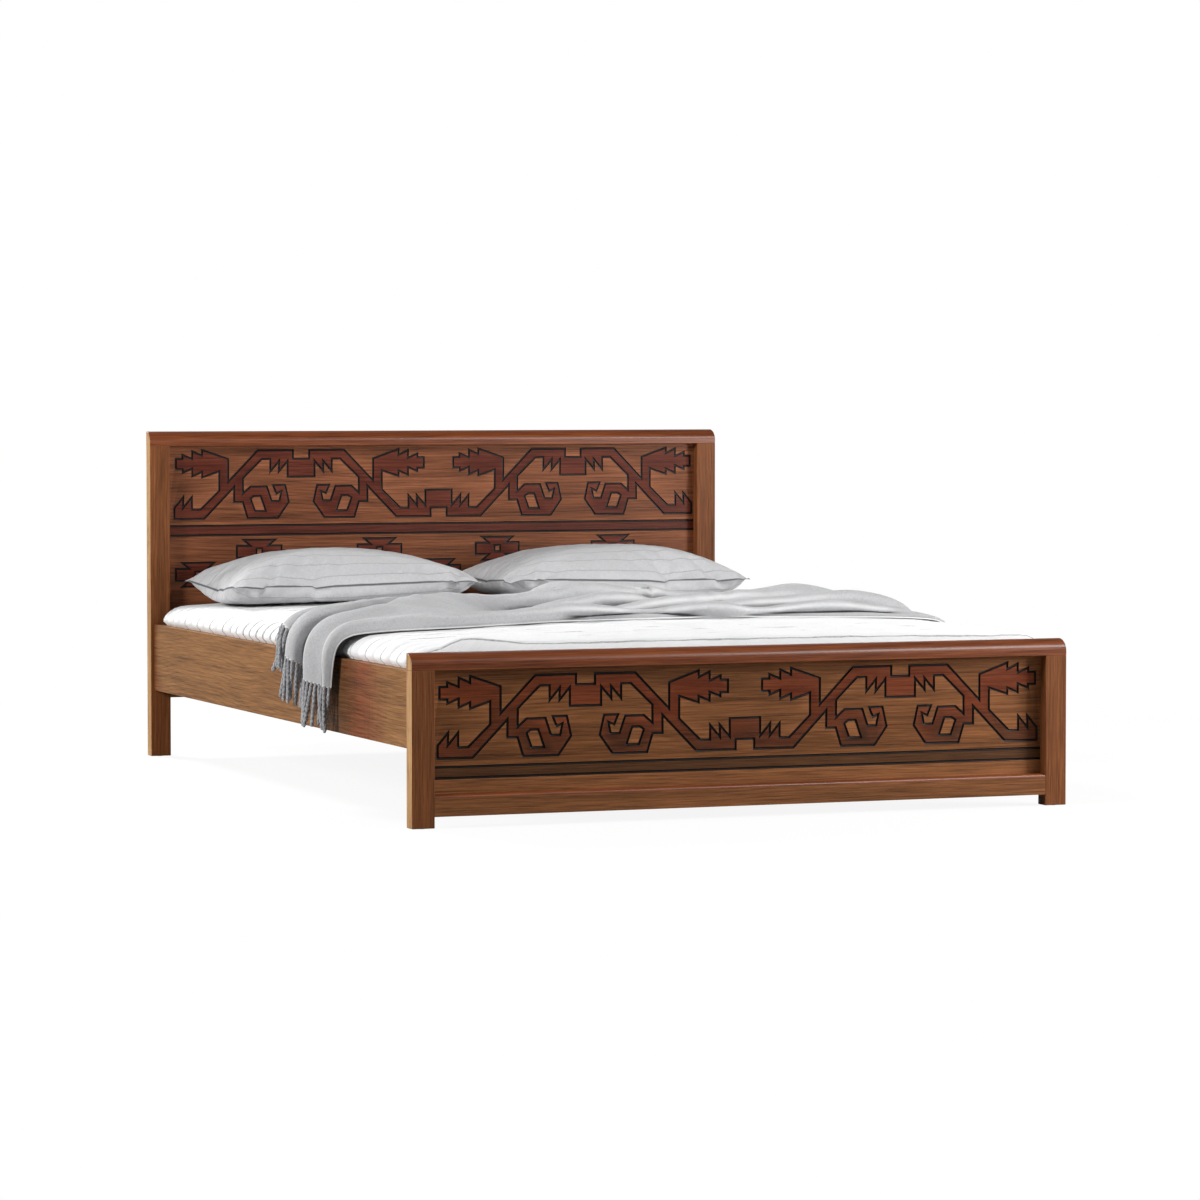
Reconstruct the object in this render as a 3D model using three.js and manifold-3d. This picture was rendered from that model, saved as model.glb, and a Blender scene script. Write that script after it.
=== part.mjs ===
// Double bed with routed kilim panels, for a 1500 x 2000 mm mattress.
// Millimetres. X runs across the bed, -Y is the foot end, +Y the head end, +Z is up.
// The origin is on the floor, under the middle of the bed.

import * as THREE from 'three';
import { mergeVertices } from 'three/addons/utils/BufferGeometryUtils.js';
import Module from 'manifold-3d';

const wasm = await Module();
wasm.setup();

// ---------- driving dimensions ----------

const bedWidth = 1568;
const bedLength = 2086;
const boardDepth = 36; // depth of the headboard and the footboard, front to back
const postWidth = 52;
const glideGap = 1; // posts stand this far above the floor, on their glides

const footboard = { height: 378, railBottom: 25.5, friezeMiddle: 236.5, bands: [130, 106], shift: 3 };
const headboard = { height: 833, railBottom: 150.7, friezeMiddle: 696, bands: [589.5, 565], shift: 6.5 };

const cap = { height: 37, face: 9, steps: 12 };
const bottomRail = { height: 47.5, roundOver: 9, steps: 5 };
const panel = { setback: 26.5, thickness: 9, lap: 8, fit: 0.3 };
const groove = { width: 5.5, depth: 3 };

const sideRail = { thickness: 25, inset: 9, bottom: 170, top: 339 };
const ledger = { width: 22, bottom: 195, top: 225 };
const slat = { count: 14, width: 70, thickness: 12, reach: 746, lastRow: 930 };
const beam = { width: 40, bottom: 165, endGap: 4 };
const supportLeg = { size: 40, rows: [-700, 0, 700], footRadius: 18, footHeight: 12 };
const glide = { radius: 10, height: 4, clearance: 0.3 };
const hook = { plateWidth: 20, plateThickness: 2, bottom: 200, top: 310, rows: [215, 275], thickness: 3 };

const mattress = { halfWidth: 749, bulge: 15, halfLength: 1003, top: 404, corner: 60 };
const pillow = { halfLength: 329, halfWidth: 214, seam: 448, top: 543, bottom: 407, offset: 366, row: 786 };
const cloth = { start: -480, end: 60, hem: 276, thickness: 8 };
const fringe = { strands: 25, width: 8, length: 100, band: 7 };

// ---------- places worked out from them ----------

const halfWidth = bedWidth / 2;
const halfLength = bedLength / 2;
const openingHalf = halfWidth - postWidth;
const footInner = -halfLength + boardDepth; // back face of the footboard
const headInner = halfLength - boardDepth; // front face of the headboard
const railOuter = halfWidth - sideRail.inset;
const railInner = railOuter - sideRail.thickness;
const slatTop = ledger.top + slat.thickness;
const sides = { left: -1, right: 1 };

// ---------- materials ----------

const finish = (color, roughness, metalness = 0) => new THREE.MeshStandardMaterial({ color, roughness, metalness });

const postWood = finish(0x5b3a25, 0.5);
const panelWood = finish(0x6b4228, 0.5);
const mahogany = finish(0x5a2a1c, 0.35);
const railWood = finish(0x7d5434, 0.45);
const slatWood = finish(0xc9a777, 0.7);
const steel = finish(0x9a9da0, 0.4, 1);
const plastic = finish(0x2a2624, 0.6);
const ticking = finish(0xf1f1ef, 0.95);
const pillowLinen = finish(0xe3e3e2, 0.95);
const wovenWool = finish(0xb9b9b9, 0.95);

// ---------- geometry helpers ----------

const axes = {
  x: new THREE.Vector3(1, 0, 0),
  y: new THREE.Vector3(0, 1, 0),
  z: new THREE.Vector3(0, 0, 1),
  back: new THREE.Vector3(0, -1, 0),
};

function box(x0, x1, y0, y1, z0, z1) {
  const geometry = new THREE.BoxGeometry(x1 - x0, y1 - y0, z1 - z0);
  return geometry.translate((x0 + x1) / 2, (y0 + y1) / 2, (z0 + z1) / 2);
}

function extrude(shape, depth, basis) {
  const geometry = new THREE.ExtrudeGeometry(shape, { depth, bevelEnabled: false });
  return geometry.applyMatrix4(new THREE.Matrix4().makeBasis(...basis));
}

const outline = (points) => new THREE.Shape(points.map(([a, b]) => new THREE.Vector2(a, b)));

// A prism whose section is drawn in (y, z) and that runs from x0 to x1.
function prismAlongX(section, x0, x1) {
  return extrude(outline(section), x1 - x0, [axes.y, axes.z, axes.x]).translate(x0, 0, 0);
}

// A prism whose section is drawn in (x, z) and that runs from y0 to y1.
function prismAlongY(shape, y0, y1) {
  return extrude(shape, y1 - y0, [axes.x, axes.z, axes.back]).translate(0, y1, 0);
}

function solid(geometry) {
  const bare = geometry.clone();
  bare.deleteAttribute('normal');
  bare.deleteAttribute('uv');
  const merged = mergeVertices(bare);
  return new wasm.Manifold(new wasm.Mesh({
    numProp: 3,
    vertProperties: new Float32Array(merged.attributes.position.array),
    triVerts: new Uint32Array(merged.index.array),
  }));
}

function geometryOf(manifold) {
  const { vertProperties, triVerts } = manifold.getMesh();
  const geometry = new THREE.BufferGeometry();
  geometry.setAttribute('position', new THREE.BufferAttribute(vertProperties, 3));
  geometry.setIndex(new THREE.BufferAttribute(triVerts, 1));
  geometry.computeVertexNormals();
  return geometry;
}

function cut(blank, cutters) {
  return geometryOf(cutters.reduce((body, cutter) => body.subtract(solid(cutter)), solid(blank)));
}

function join(pieces) {
  return geometryOf(pieces.map(solid).reduce((body, piece) => body.add(piece)));
}

// Moves every edge of a counterclockwise outline outwards by the same distance, with mitred corners.
function offsetOutline(points, distance) {
  const count = points.length;
  const normals = points.map(([x, y], i) => {
    const [nextX, nextY] = points[(i + 1) % count];
    const length = Math.hypot(nextX - x, nextY - y);
    return [(nextY - y) / length, (x - nextX) / length];
  });
  return points.map(([x, y], i) => {
    const [ax, ay] = normals[(i + count - 1) % count];
    const [bx, by] = normals[i];
    const reach = distance / (1 + ax * bx + ay * by);
    return [x + (ax + bx) * reach, y + (ay + by) * reach];
  });
}

const bed = new THREE.Group();

function add(name, geometry, material) {
  const mesh = new THREE.Mesh(geometry, material);
  mesh.name = name;
  bed.add(mesh);
}

// ---------- the kilim drawing ----------

// Half a repeat of the frieze, from the middle of a lower bridge (0) to the middle of an upper
// bridge (halfRepeat). Heights are measured from the frieze's middle line. The comb and the limb
// look the same when the half repeat is turned upside down.
const halfRepeat = 378;
const blockEdge = 36.5; // half the width of a bridge's block
const friezeHalfHeight = 87.75;

const comb = [
  [0, -18.5], [blockEdge, -18.5], [blockEdge, -59.5], [60.5, -32.4], [59.8, -59.5], [83.5, -32.4],
  [83.5, -64.6], [106.5, -64.6], [157.2, -16.3],
];
const foot = [[0, -65.25], [22.25, -65.25], [22.25, -friezeHalfHeight], [116.8, -friezeHalfHeight], [197, -6.5]];
const leaf = [
  [157.2, 33.5], [111, 18.5], [111, 32.3], [84.8, 21.5], [84.8, 41], [59, 31], [59, 39.5], [41, 39.5],
  [41, 66.8], [58.6, 66.8], [58.6, 76.5], [84.8, 66], [84.8, 86], [111, 74.2], [111, 89], [181, 64.8],
];
const scroll = [
  [196.6, -46.5], [220.3, -46.5], [233.2, -friezeHalfHeight], [314.8, -friezeHalfHeight], [344.5, -46.5],
  [334.5, -3.2], [301.5, -3.2], [310.8, -24.8], [324.5, -19], [319, -44], [297.8, -44], [284.8, -6.5],
  [240.8, -6.5], [220.4, -24],
];
const eye = [[240.75, -37.25], [250.25, -30.75], [268.25, -30.75], [282, -69.75], [252.75, -69.75]];

const upsideDown = (points) => points.map(([u, v]) => [halfRepeat - u, -v]).reverse();
const mirrored = (points) => points.map(([u, v]) => [2 * halfRepeat - u, v]).reverse();
const moved = (points, du, dv) => points.map(([u, v]) => [u + du, v + dv]);

// Two whole repeats side by side, as counterclockwise loops. Both ends stop upright at a lower block's edge, so the points
// of the half bridges beyond it are dropped.
function friezeOutlines(middleX, middleZ) {
  const upper = [...comb, ...leaf, ...upsideDown(foot)];
  const lower = [...foot, ...scroll, ...upsideDown(comb)];
  const repeat = (chain) => [...chain.slice(1, -1), ...mirrored(chain).slice(1, -1)];
  const twice = (chain) => [...repeat(chain), ...moved(repeat(chain), 2 * halfRepeat, 0)];
  const top = twice(upper).slice(1, -1);
  const bottom = twice(lower).slice(2, -2);
  const [rightEnd, leftEnd] = [4 * halfRepeat - blockEdge, blockEdge].map((u) => [u, -friezeHalfHeight]);
  const figure = [...top, rightEnd, ...bottom.reverse(), leftEnd];
  const eyes = [0, 2].flatMap((k) => [eye, mirrored(eye)].map((loop) => moved(loop, k * halfRepeat, 0)));
  return [figure, ...eyes].map((loop) => moved(loop, middleX - 2 * halfRepeat, middleZ).reverse());
}

const blossom = { waist: 24, lip: 42.5, arm: 60.4, armHalf: 15.3, half: 30.5, eyeHalf: 7.9 };
const blossomRows = [
  { height: 521.2, places: [-1.5, -0.5, 0.5, 1.5] },
  { height: 463.8, places: [-2, -1, 0, 1, 2] },
];
const blossomPitch = 328;

function blossomOutlines(x, z) {
  const { waist, lip, arm, armHalf, half, eyeHalf } = blossom;
  const quarter = [[arm, armHalf], [waist, armHalf], [lip, half]];
  const top = [...quarter, ...quarter.map(([u, v]) => [-u, v]).reverse()];
  const cross = [...top, ...top.map(([u, v]) => [-u, -v])];
  const corners = [[1, 1], [-1, 1], [-1, -1], [1, -1]];
  return [cross, corners.map(([u, v]) => [u * eyeHalf, v * eyeHalf])].map((loop) => moved(loop, x, z));
}

// ---------- headboard and footboard ----------

function grooveCutter(loop, faceY) {
  const ring = outline(offsetOutline(loop, groove.width / 2));
  ring.holes.push(outline(offsetOutline(loop, -groove.width / 2)));
  return prismAlongY(ring, faceY - 1, faceY + groove.depth);
}

function carvedPanel(board, frontY, loops) {
  const faceY = frontY + panel.setback;
  const bottom = board.railBottom + bottomRail.height - panel.lap + panel.fit;
  const top = board.height - cap.height + panel.lap - panel.fit;
  const reach = openingHalf + panel.lap;
  const blank = box(-reach, reach, faceY, faceY + panel.thickness, bottom, top);
  const bands = board.bands.map((z) => box(
    -openingHalf, openingHalf, faceY - 1, faceY + groove.depth, z - groove.width / 2, z + groove.width / 2,
  ));
  return cut(blank, [...bands, ...loops.map((loop) => grooveCutter(loop, faceY))]);
}

// The top rail: upright at its foot, then a quarter ellipse that rises to the back edge.
function capRail(board, frontY) {
  const bottom = board.height - cap.height;
  const curve = Array.from({ length: cap.steps + 1 }, (_, i) => {
    const angle = (i / cap.steps) * (Math.PI / 2);
    return [frontY + boardDepth * (1 - Math.cos(angle)), bottom + cap.face + (cap.height - cap.face) * Math.sin(angle)];
  });
  const section = [[frontY + boardDepth, bottom], [frontY, bottom], ...curve];
  const reach = openingHalf + panel.lap + panel.fit;
  const rebate = box(
    -reach, reach, frontY + panel.setback, frontY + boardDepth + 1, bottom - 1, bottom + panel.lap,
  );
  return cut(prismAlongX(section, -halfWidth, halfWidth), [rebate]);
}

function lowerRail(board, frontY) {
  const { railBottom } = board;
  const top = railBottom + bottomRail.height;
  const { roundOver, steps } = bottomRail;
  const curve = Array.from({ length: steps + 1 }, (_, i) => {
    const angle = (i / steps) * (Math.PI / 2);
    return [frontY + roundOver * (1 - Math.cos(angle)), top - roundOver * (1 - Math.sin(angle))];
  });
  const rebateY = frontY + panel.setback;
  const section = [
    [frontY, railBottom], ...curve, [rebateY, top], [rebateY, top - panel.lap],
    [frontY + boardDepth, top - panel.lap], [frontY + boardDepth, railBottom],
  ];
  return prismAlongX(section, -openingHalf, openingHalf);
}

// A post with its glide hole, the rebate for the panel, and the pockets for the rail's hooks.
function post(board, frontY, side, innerY, inward) {
  const top = board.height - cap.height;
  const xs = (a, b) => [Math.min(side * a, side * b), Math.max(side * a, side * b)];
  const ys = (a, b) => [Math.min(innerY - inward * a, innerY - inward * b), Math.max(innerY - inward * a, innerY - inward * b)];
  const railMiddle = railOuter - sideRail.thickness / 2;
  const blank = box(...xs(openingHalf, halfWidth), frontY, frontY + boardDepth, glideGap, top);
  const rebate = box(
    ...xs(openingHalf - 1, openingHalf + panel.lap + panel.fit),
    frontY + panel.setback, frontY + boardDepth + 1,
    board.railBottom + bottomRail.height - panel.lap, top + 1,
  );
  const half = hook.plateWidth / 2 + panel.fit;
  const seat = box(
    ...xs(railMiddle - half, railMiddle + half),
    ...ys(-1, hook.plateThickness + panel.fit),
    hook.bottom - 6, hook.top + 6,
  );
  const pockets = hook.rows.map((z) => box(
    ...xs(railMiddle - hook.thickness, railMiddle + hook.thickness), ...ys(0, 16), z - 13, z + 27,
  ));
  return cut(blank, [rebate, seat, ...pockets, glideHole(side, frontY)]);
}

function disc(radius, x, y, z0, z1) {
  const geometry = new THREE.CylinderGeometry(radius, radius, z1 - z0, 24);
  return geometry.rotateX(Math.PI / 2).translate(x, y, (z0 + z1) / 2);
}

const glideX = halfWidth - postWidth / 2;

function glideHole(side, frontY) {
  const top = glide.height + glide.clearance;
  return disc(glide.radius + glide.clearance, side * glideX, frontY + boardDepth / 2, 0, top);
}

function addBoard(name, board, frontY, innerY, inward, extraLoops) {
  for (const [sideName, side] of Object.entries(sides)) {
    add(`${name}_post_${sideName}`, post(board, frontY, side, innerY, inward), postWood);
    const foot = disc(glide.radius, side * glideX, frontY + boardDepth / 2, 0, glide.height);
    add(`${name}_glide_${sideName}`, foot, plastic);
  }
  const loops = [...friezeOutlines(board.shift, board.friezeMiddle), ...extraLoops];
  add(`${name}_panel`, carvedPanel(board, frontY, loops), panelWood);
  add(`${name}_cap`, capRail(board, frontY), mahogany);
  add(`${name}_bottom_rail`, lowerRail(board, frontY), mahogany);
}

const blossoms = blossomRows.flatMap(({ height, places }) => places.flatMap(
  (place) => blossomOutlines(headboard.shift + place * blossomPitch, height),
));

addBoard('footboard', footboard, -halfLength, footInner, 1, []);
addBoard('headboard', headboard, headInner, headInner, -1, blossoms);

// ---------- side rails, with their hook plates ----------

// Both plates are described from the joint between rail and post: `into` is the direction from
// the rail into the post, and depth 0 is the joint face.
function railFittings(side, innerY, into) {
  const middle = side * (railOuter - sideRail.thickness / 2);
  const part = (half, d0, d1, z0, z1) => {
    const ys = [innerY + into * d0, innerY + into * d1].sort((a, b) => a - b);
    return box(middle - half, middle + half, ...ys, z0, z1);
  };
  const { plateWidth, plateThickness, bottom, top, rows, thickness } = hook;
  const plate = part(plateWidth / 2, -plateThickness, 0, bottom, top);
  const hooks = rows.flatMap((z) => [
    part(thickness / 2, -1, 12, z + 3, z + 20),
    part(thickness / 2, 4, 12, z - 9, z + 4),
  ]);
  const receiver = part(plateWidth / 2, 0, plateThickness, bottom - 5, top + 5);
  const slots = rows.map((z) => part(thickness / 2 + 0.8, -1, plateThickness + 1, z - 3, z + 25));
  return { hookPlate: join([plate, ...hooks]), receiver: cut(receiver, slots) };
}

for (const [sideName, side] of Object.entries(sides)) {
  const xs = [side * railInner, side * railOuter].sort((a, b) => a - b);
  const blank = box(...xs, footInner, headInner, sideRail.bottom, sideRail.top);
  const middle = side * (railOuter - sideRail.thickness / 2);
  const half = hook.plateWidth / 2 + panel.fit;
  const depth = hook.plateThickness + panel.fit;
  const seat = (y0, y1) => box(middle - half, middle + half, y0, y1, hook.bottom - 1, hook.top + 1);
  const seats = [seat(footInner - 1, footInner + depth), seat(headInner - depth, headInner + 1)];
  add(`side_rail_${sideName}`, cut(blank, seats), railWood);

  for (const [end, innerY, into] of [['foot', footInner, -1], ['head', headInner, 1]]) {
    const { hookPlate, receiver } = railFittings(side, innerY, into);
    add(`rail_hook_${end}_${sideName}`, hookPlate, steel);
    add(`post_receiver_${end}_${sideName}`, receiver, steel);
  }

  const ledgerXs = [side * railInner, side * (railInner - ledger.width)].sort((a, b) => a - b);
  add(`slat_ledger_${sideName}`, box(...ledgerXs, footInner + 24, headInner - 24, ledger.bottom, ledger.top), slatWood);
}

// ---------- slats, middle beam and its legs ----------

for (let i = 0; i < slat.count; i += 1) {
  const middle = -slat.lastRow + (2 * slat.lastRow * i) / (slat.count - 1);
  const ends = [middle - slat.width / 2, middle + slat.width / 2];
  add(`slat_${String(i + 1).padStart(2, '0')}`, box(-slat.reach, slat.reach, ...ends, ledger.top, slatTop), slatWood);
}

const beamHalf = beam.width / 2;
add('middle_beam', box(
  -beamHalf, beamHalf, footInner + beam.endGap, headInner - beam.endGap, beam.bottom, ledger.top,
), slatWood);

supportLeg.rows.forEach((y, i) => {
  const half = supportLeg.size / 2;
  const place = ['foot', 'centre', 'head'][i];
  add(`support_leg_${place}`, box(-half, half, y - half, y + half, supportLeg.footHeight, beam.bottom), slatWood);
  add(`support_foot_${place}`, disc(supportLeg.footRadius, 0, y, 0, supportLeg.footHeight), plastic);
});

// ---------- mattress ----------

// Rounded rectangles stacked up and skinned, closed with a flat top and a flat bottom.
function loft(levels, corner, cornerSteps) {
  const ring = ({ z, halfX, halfY }) => [[1, 1], [-1, 1], [-1, -1], [1, -1]].flatMap(([sx, sy], quadrant) => (
    Array.from({ length: cornerSteps + 1 }, (_, i) => {
      const angle = (quadrant + i / cornerSteps) * (Math.PI / 2);
      return [sx * (halfX - corner) + corner * Math.cos(angle), sy * (halfY - corner) + corner * Math.sin(angle), z];
    })
  ));
  const rings = levels.map(ring);
  const size = rings[0].length;
  const middles = [levels[0], levels[levels.length - 1]].map(({ z }) => [0, 0, z]);
  const positions = [...rings.flat(), ...middles].flat();
  const last = (levels.length - 1) * size;
  const bottomMiddle = levels.length * size;
  const index = [];
  for (let i = 0; i < size; i += 1) {
    const next = (i + 1) % size;
    for (let k = 0; k < last; k += size) {
      index.push(k + i, k + next, k + size + next, k + i, k + size + next, k + size + i);
    }
    index.push(bottomMiddle, next, i, bottomMiddle + 1, last + i, last + next);
  }
  const geometry = new THREE.BufferGeometry();
  geometry.setAttribute('position', new THREE.Float32BufferAttribute(positions, 3));
  geometry.setIndex(index);
  return geometry;
}

// Straight between the rails, bulging over them, then crowned.
const mattressLevels = [
  [slatTop + 0.3, -8, -8], [slatTop + 12, 0, 0], [sideRail.top + 3, 0, 0], [sideRail.top + 9, mattress.bulge, 0],
  [360, mattress.bulge, 0], [380, mattress.bulge - 8, -3], [393, -12, -12], [400, -60, -50], [mattress.top, -200, -200],
].map(([z, growX, growY]) => ({ z, halfX: mattress.halfWidth + growX, halfY: mattress.halfLength + growY }));
add('mattress', loft(mattressLevels, mattress.corner, 4), ticking);

// ---------- pillows ----------

// Two crowned faces that meet at the seam. The sides pull in between the corners.
function cushion(centreX, centreY, columns = 14, rows = 10) {
  const { halfLength: hx, halfWidth: hy, seam, top, bottom } = pillow;
  const place = (i, j, face) => {
    const u = (2 * i) / columns - 1;
    const v = (2 * j) / rows - 1;
    const x = centreX + hx * u * (1 - 0.03 * (1 - v * v));
    const y = centreY + hy * v * (1 - 0.04 * (1 - u * u));
    const swell = (1 - u * u) ** 0.72 * (1 - v * v) ** 0.6;
    const z = face > 0 ? seam + (top - seam) * swell : seam - (seam - bottom) * Math.min(1, 1.6 * swell);
    return [x, y, z];
  };
  const geometry = new THREE.BufferGeometry();
  const positions = [];
  const index = [];
  for (const face of [1, -1]) {
    const base = positions.length / 3;
    for (let j = 0; j <= rows; j += 1) {
      for (let i = 0; i <= columns; i += 1) positions.push(...place(i, j, face));
    }
    for (let j = 0; j < rows; j += 1) {
      for (let i = 0; i < columns; i += 1) {
        const a = base + j * (columns + 1) + i;
        const [b, c, d] = [a + 1, a + columns + 2, a + columns + 1];
        if (face > 0) index.push(a, b, c, a, c, d);
        else index.push(a, c, b, a, d, c);
      }
    }
  }
  geometry.setAttribute('position', new THREE.Float32BufferAttribute(positions, 3));
  geometry.setIndex(index);
  return mergeVertices(geometry, 0.01);
}

for (const [sideName, side] of Object.entries(sides)) {
  add(`pillow_${sideName}`, cushion(side * pillow.offset, pillow.row), pillowLinen);
}

// ---------- throw, hanging over both side rails ----------

const clothHang = halfWidth + 4; // inner face of the hanging ends
const under = [[clothHang, cloth.hem], [clothHang, 362], [770, 388], [722, 404], [600, 409]];
const over = [
  [clothHang + cloth.thickness, cloth.hem], [clothHang + cloth.thickness, 368], [780, 396], [716, 428], [600, 440],
];
const leftward = (points) => points.map(([x, z]) => [-x, z]);
const clothSection = [...over, ...leftward(over).reverse(), ...leftward(under), ...[...under].reverse()];
add('throw', prismAlongY(outline(clothSection), cloth.start, cloth.end), wovenWool);

for (const [sideName, side] of Object.entries(sides)) {
  const xs = [side * clothHang, side * (clothHang + cloth.thickness)].sort((a, b) => a - b);
  const hem = box(...xs, cloth.start, cloth.end, cloth.hem - fringe.band, cloth.hem);
  const pitch = (cloth.end - cloth.start - fringe.width) / (fringe.strands - 1);
  const strands = Array.from({ length: fringe.strands }, (_, i) => {
    const y = cloth.start + i * pitch;
    return box(...xs, y, y + fringe.width, cloth.hem - fringe.length, cloth.hem - fringe.band + 1);
  });
  add(`throw_fringe_${sideName}`, join([hem, ...strands]), wovenWool);
}

export default bed;
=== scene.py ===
"""Looks of a double bed with routed kilim panels, a mattress, two pillows and a fringed throw.

Metres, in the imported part's frame: X runs across the bed, -Y is the foot end, +Y the head end,
+Z is up, and the origin is on the floor under the middle of the bed.
"""

import math

import bmesh
import bpy
import numpy as np
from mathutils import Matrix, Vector
from mathutils.geometry import tessellate_polygon


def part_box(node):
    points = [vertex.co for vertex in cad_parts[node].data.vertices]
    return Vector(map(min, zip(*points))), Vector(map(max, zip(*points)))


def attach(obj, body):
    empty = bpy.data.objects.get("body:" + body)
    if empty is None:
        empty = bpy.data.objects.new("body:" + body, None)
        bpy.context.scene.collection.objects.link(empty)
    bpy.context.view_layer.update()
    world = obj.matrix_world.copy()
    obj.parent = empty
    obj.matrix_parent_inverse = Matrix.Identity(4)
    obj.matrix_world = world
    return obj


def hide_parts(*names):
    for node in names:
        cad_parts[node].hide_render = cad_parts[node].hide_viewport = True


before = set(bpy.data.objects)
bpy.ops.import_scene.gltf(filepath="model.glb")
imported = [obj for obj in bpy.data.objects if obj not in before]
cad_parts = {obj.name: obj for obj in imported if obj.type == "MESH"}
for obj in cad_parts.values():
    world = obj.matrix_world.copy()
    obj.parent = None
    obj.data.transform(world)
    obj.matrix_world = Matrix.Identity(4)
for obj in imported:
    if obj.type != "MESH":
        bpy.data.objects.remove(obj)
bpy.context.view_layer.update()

MM = 0.001


# ---------- node graphs ----------

class Graph:
    """A node material, with short calls for the nodes that the materials here share."""

    def __init__(self, name):
        self.material = bpy.data.materials.new(name)
        self.material.use_nodes = True
        self.tree = self.material.node_tree
        self.shader = self.tree.nodes["Principled BSDF"]
        self.point = self.node("ShaderNodeTexCoord").outputs["Object"]
        self.uv = self.node("ShaderNodeTexCoord").outputs["UV"]

    def node(self, kind, inputs=(), **settings):
        made = self.tree.nodes.new(kind)
        for key, value in settings.items():
            setattr(made, key, value)
        for key, value in dict(inputs).items():
            self.feed(made.inputs[key], value)
        return made

    def feed(self, socket, value):
        if isinstance(value, bpy.types.NodeSocket):
            self.tree.links.new(value, socket)
        else:
            socket.default_value = value

    def math(self, operation, *values, clamp=False):
        made = self.node("ShaderNodeMath", enumerate(values), operation=operation, use_clamp=clamp)
        return made.outputs[0]

    def plus(self, *values, clamp=False):
        return self.math("ADD", *values, clamp=clamp)

    def minus(self, *values):
        return self.math("SUBTRACT", *values)

    def times(self, *values):
        return self.math("MULTIPLY", *values)

    def axis(self, letter):
        return self.node("ShaderNodeSeparateXYZ", {"Vector": self.point}).outputs[letter]

    def stretched(self, scale, coordinates=None, offset=(0, 0, 0)):
        values = {"Vector": coordinates or self.point, "Scale": scale, "Location": offset}
        return self.node("ShaderNodeMapping", values).outputs[0]

    def noise(self, vector, scale=1.0, detail=4.0, roughness=0.55, distortion=0.0):
        values = {"Vector": vector, "Scale": scale, "Detail": detail, "Roughness": roughness}
        made = self.node("ShaderNodeTexNoise", {**values, "Distortion": distortion})
        return made.outputs["Fac"]

    def ramp(self, value, *stops):
        made = self.node("ShaderNodeValToRGB", {"Fac": value})
        elements = made.color_ramp.elements
        while len(elements) < len(stops):
            elements.new(0.5)
        for element, (position, color) in zip(elements, stops):
            element.position = position
            element.color = (*color, 1) if hasattr(color, "__len__") else (color, color, color, 1)
        return made.outputs["Color"]

    def blend(self, share, first, second, mode="MIX"):
        made = self.node("ShaderNodeMix", data_type="RGBA", blend_type=mode)
        self.feed(made.inputs["Factor"], share)
        for name, value in (("A", first), ("B", second)):
            socket = next(s for s in made.inputs if s.name == name and s.type == "RGBA")
            self.feed(socket, (*value, 1) if hasattr(value, "__len__") else value)
        return next(s for s in made.outputs if s.type == "RGBA")

    def spread(self, value, low, high, from_low=0.3, from_high=0.7):
        """Spreads a value, such as a noise, which keeps to about 0.3 to 0.7, from low to high."""
        values = {"Value": value, "From Min": from_low, "From Max": from_high}
        values.update({"To Min": low, "To Max": high})
        return self.node("ShaderNodeMapRange", values).outputs["Result"]

    def bump(self, height, distance, strength):
        values = {"Height": height, "Distance": distance, "Strength": strength}
        return self.node("ShaderNodeBump", values).outputs["Normal"]

    def surface(self, **values):
        for key, value in values.items():
            name = key.replace("_", " ").title().replace("Ior", "IOR")
            self.feed(self.shader.inputs[name], (*value, 1) if isinstance(value, tuple) else value)
        return self.material


def linear(*srgb):
    """A colour as seen on a screen, 0 to 255, as the linear values that shaders take."""
    shares = [value / 255 for value in srgb]
    return tuple(s / 12.92 if s <= 0.04045 else ((s + 0.055) / 1.055) ** 2.4 for s in shares)


# ---------- wood ----------

ALONG = {"x": (1, 0, 0), "y": (0, 1, 0), "z": (0, 0, 1)}
ACROSS = {"x": "Z", "y": "Z", "z": "X"}
RINGS_PER_METRE = 105
RING_DRIFT = 9.0  # how many rings the slow noise pushes a ring aside, and the quick one below
RING_RIPPLE = 1.6
RING_TONES = ((0.0, 0.25), (0.14, 0.95), (0.7, 1.0), (0.9, 0.6), (0.97, 0.0), (1.0, 0.25))
LACQUER_BLUR = 0.28


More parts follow.
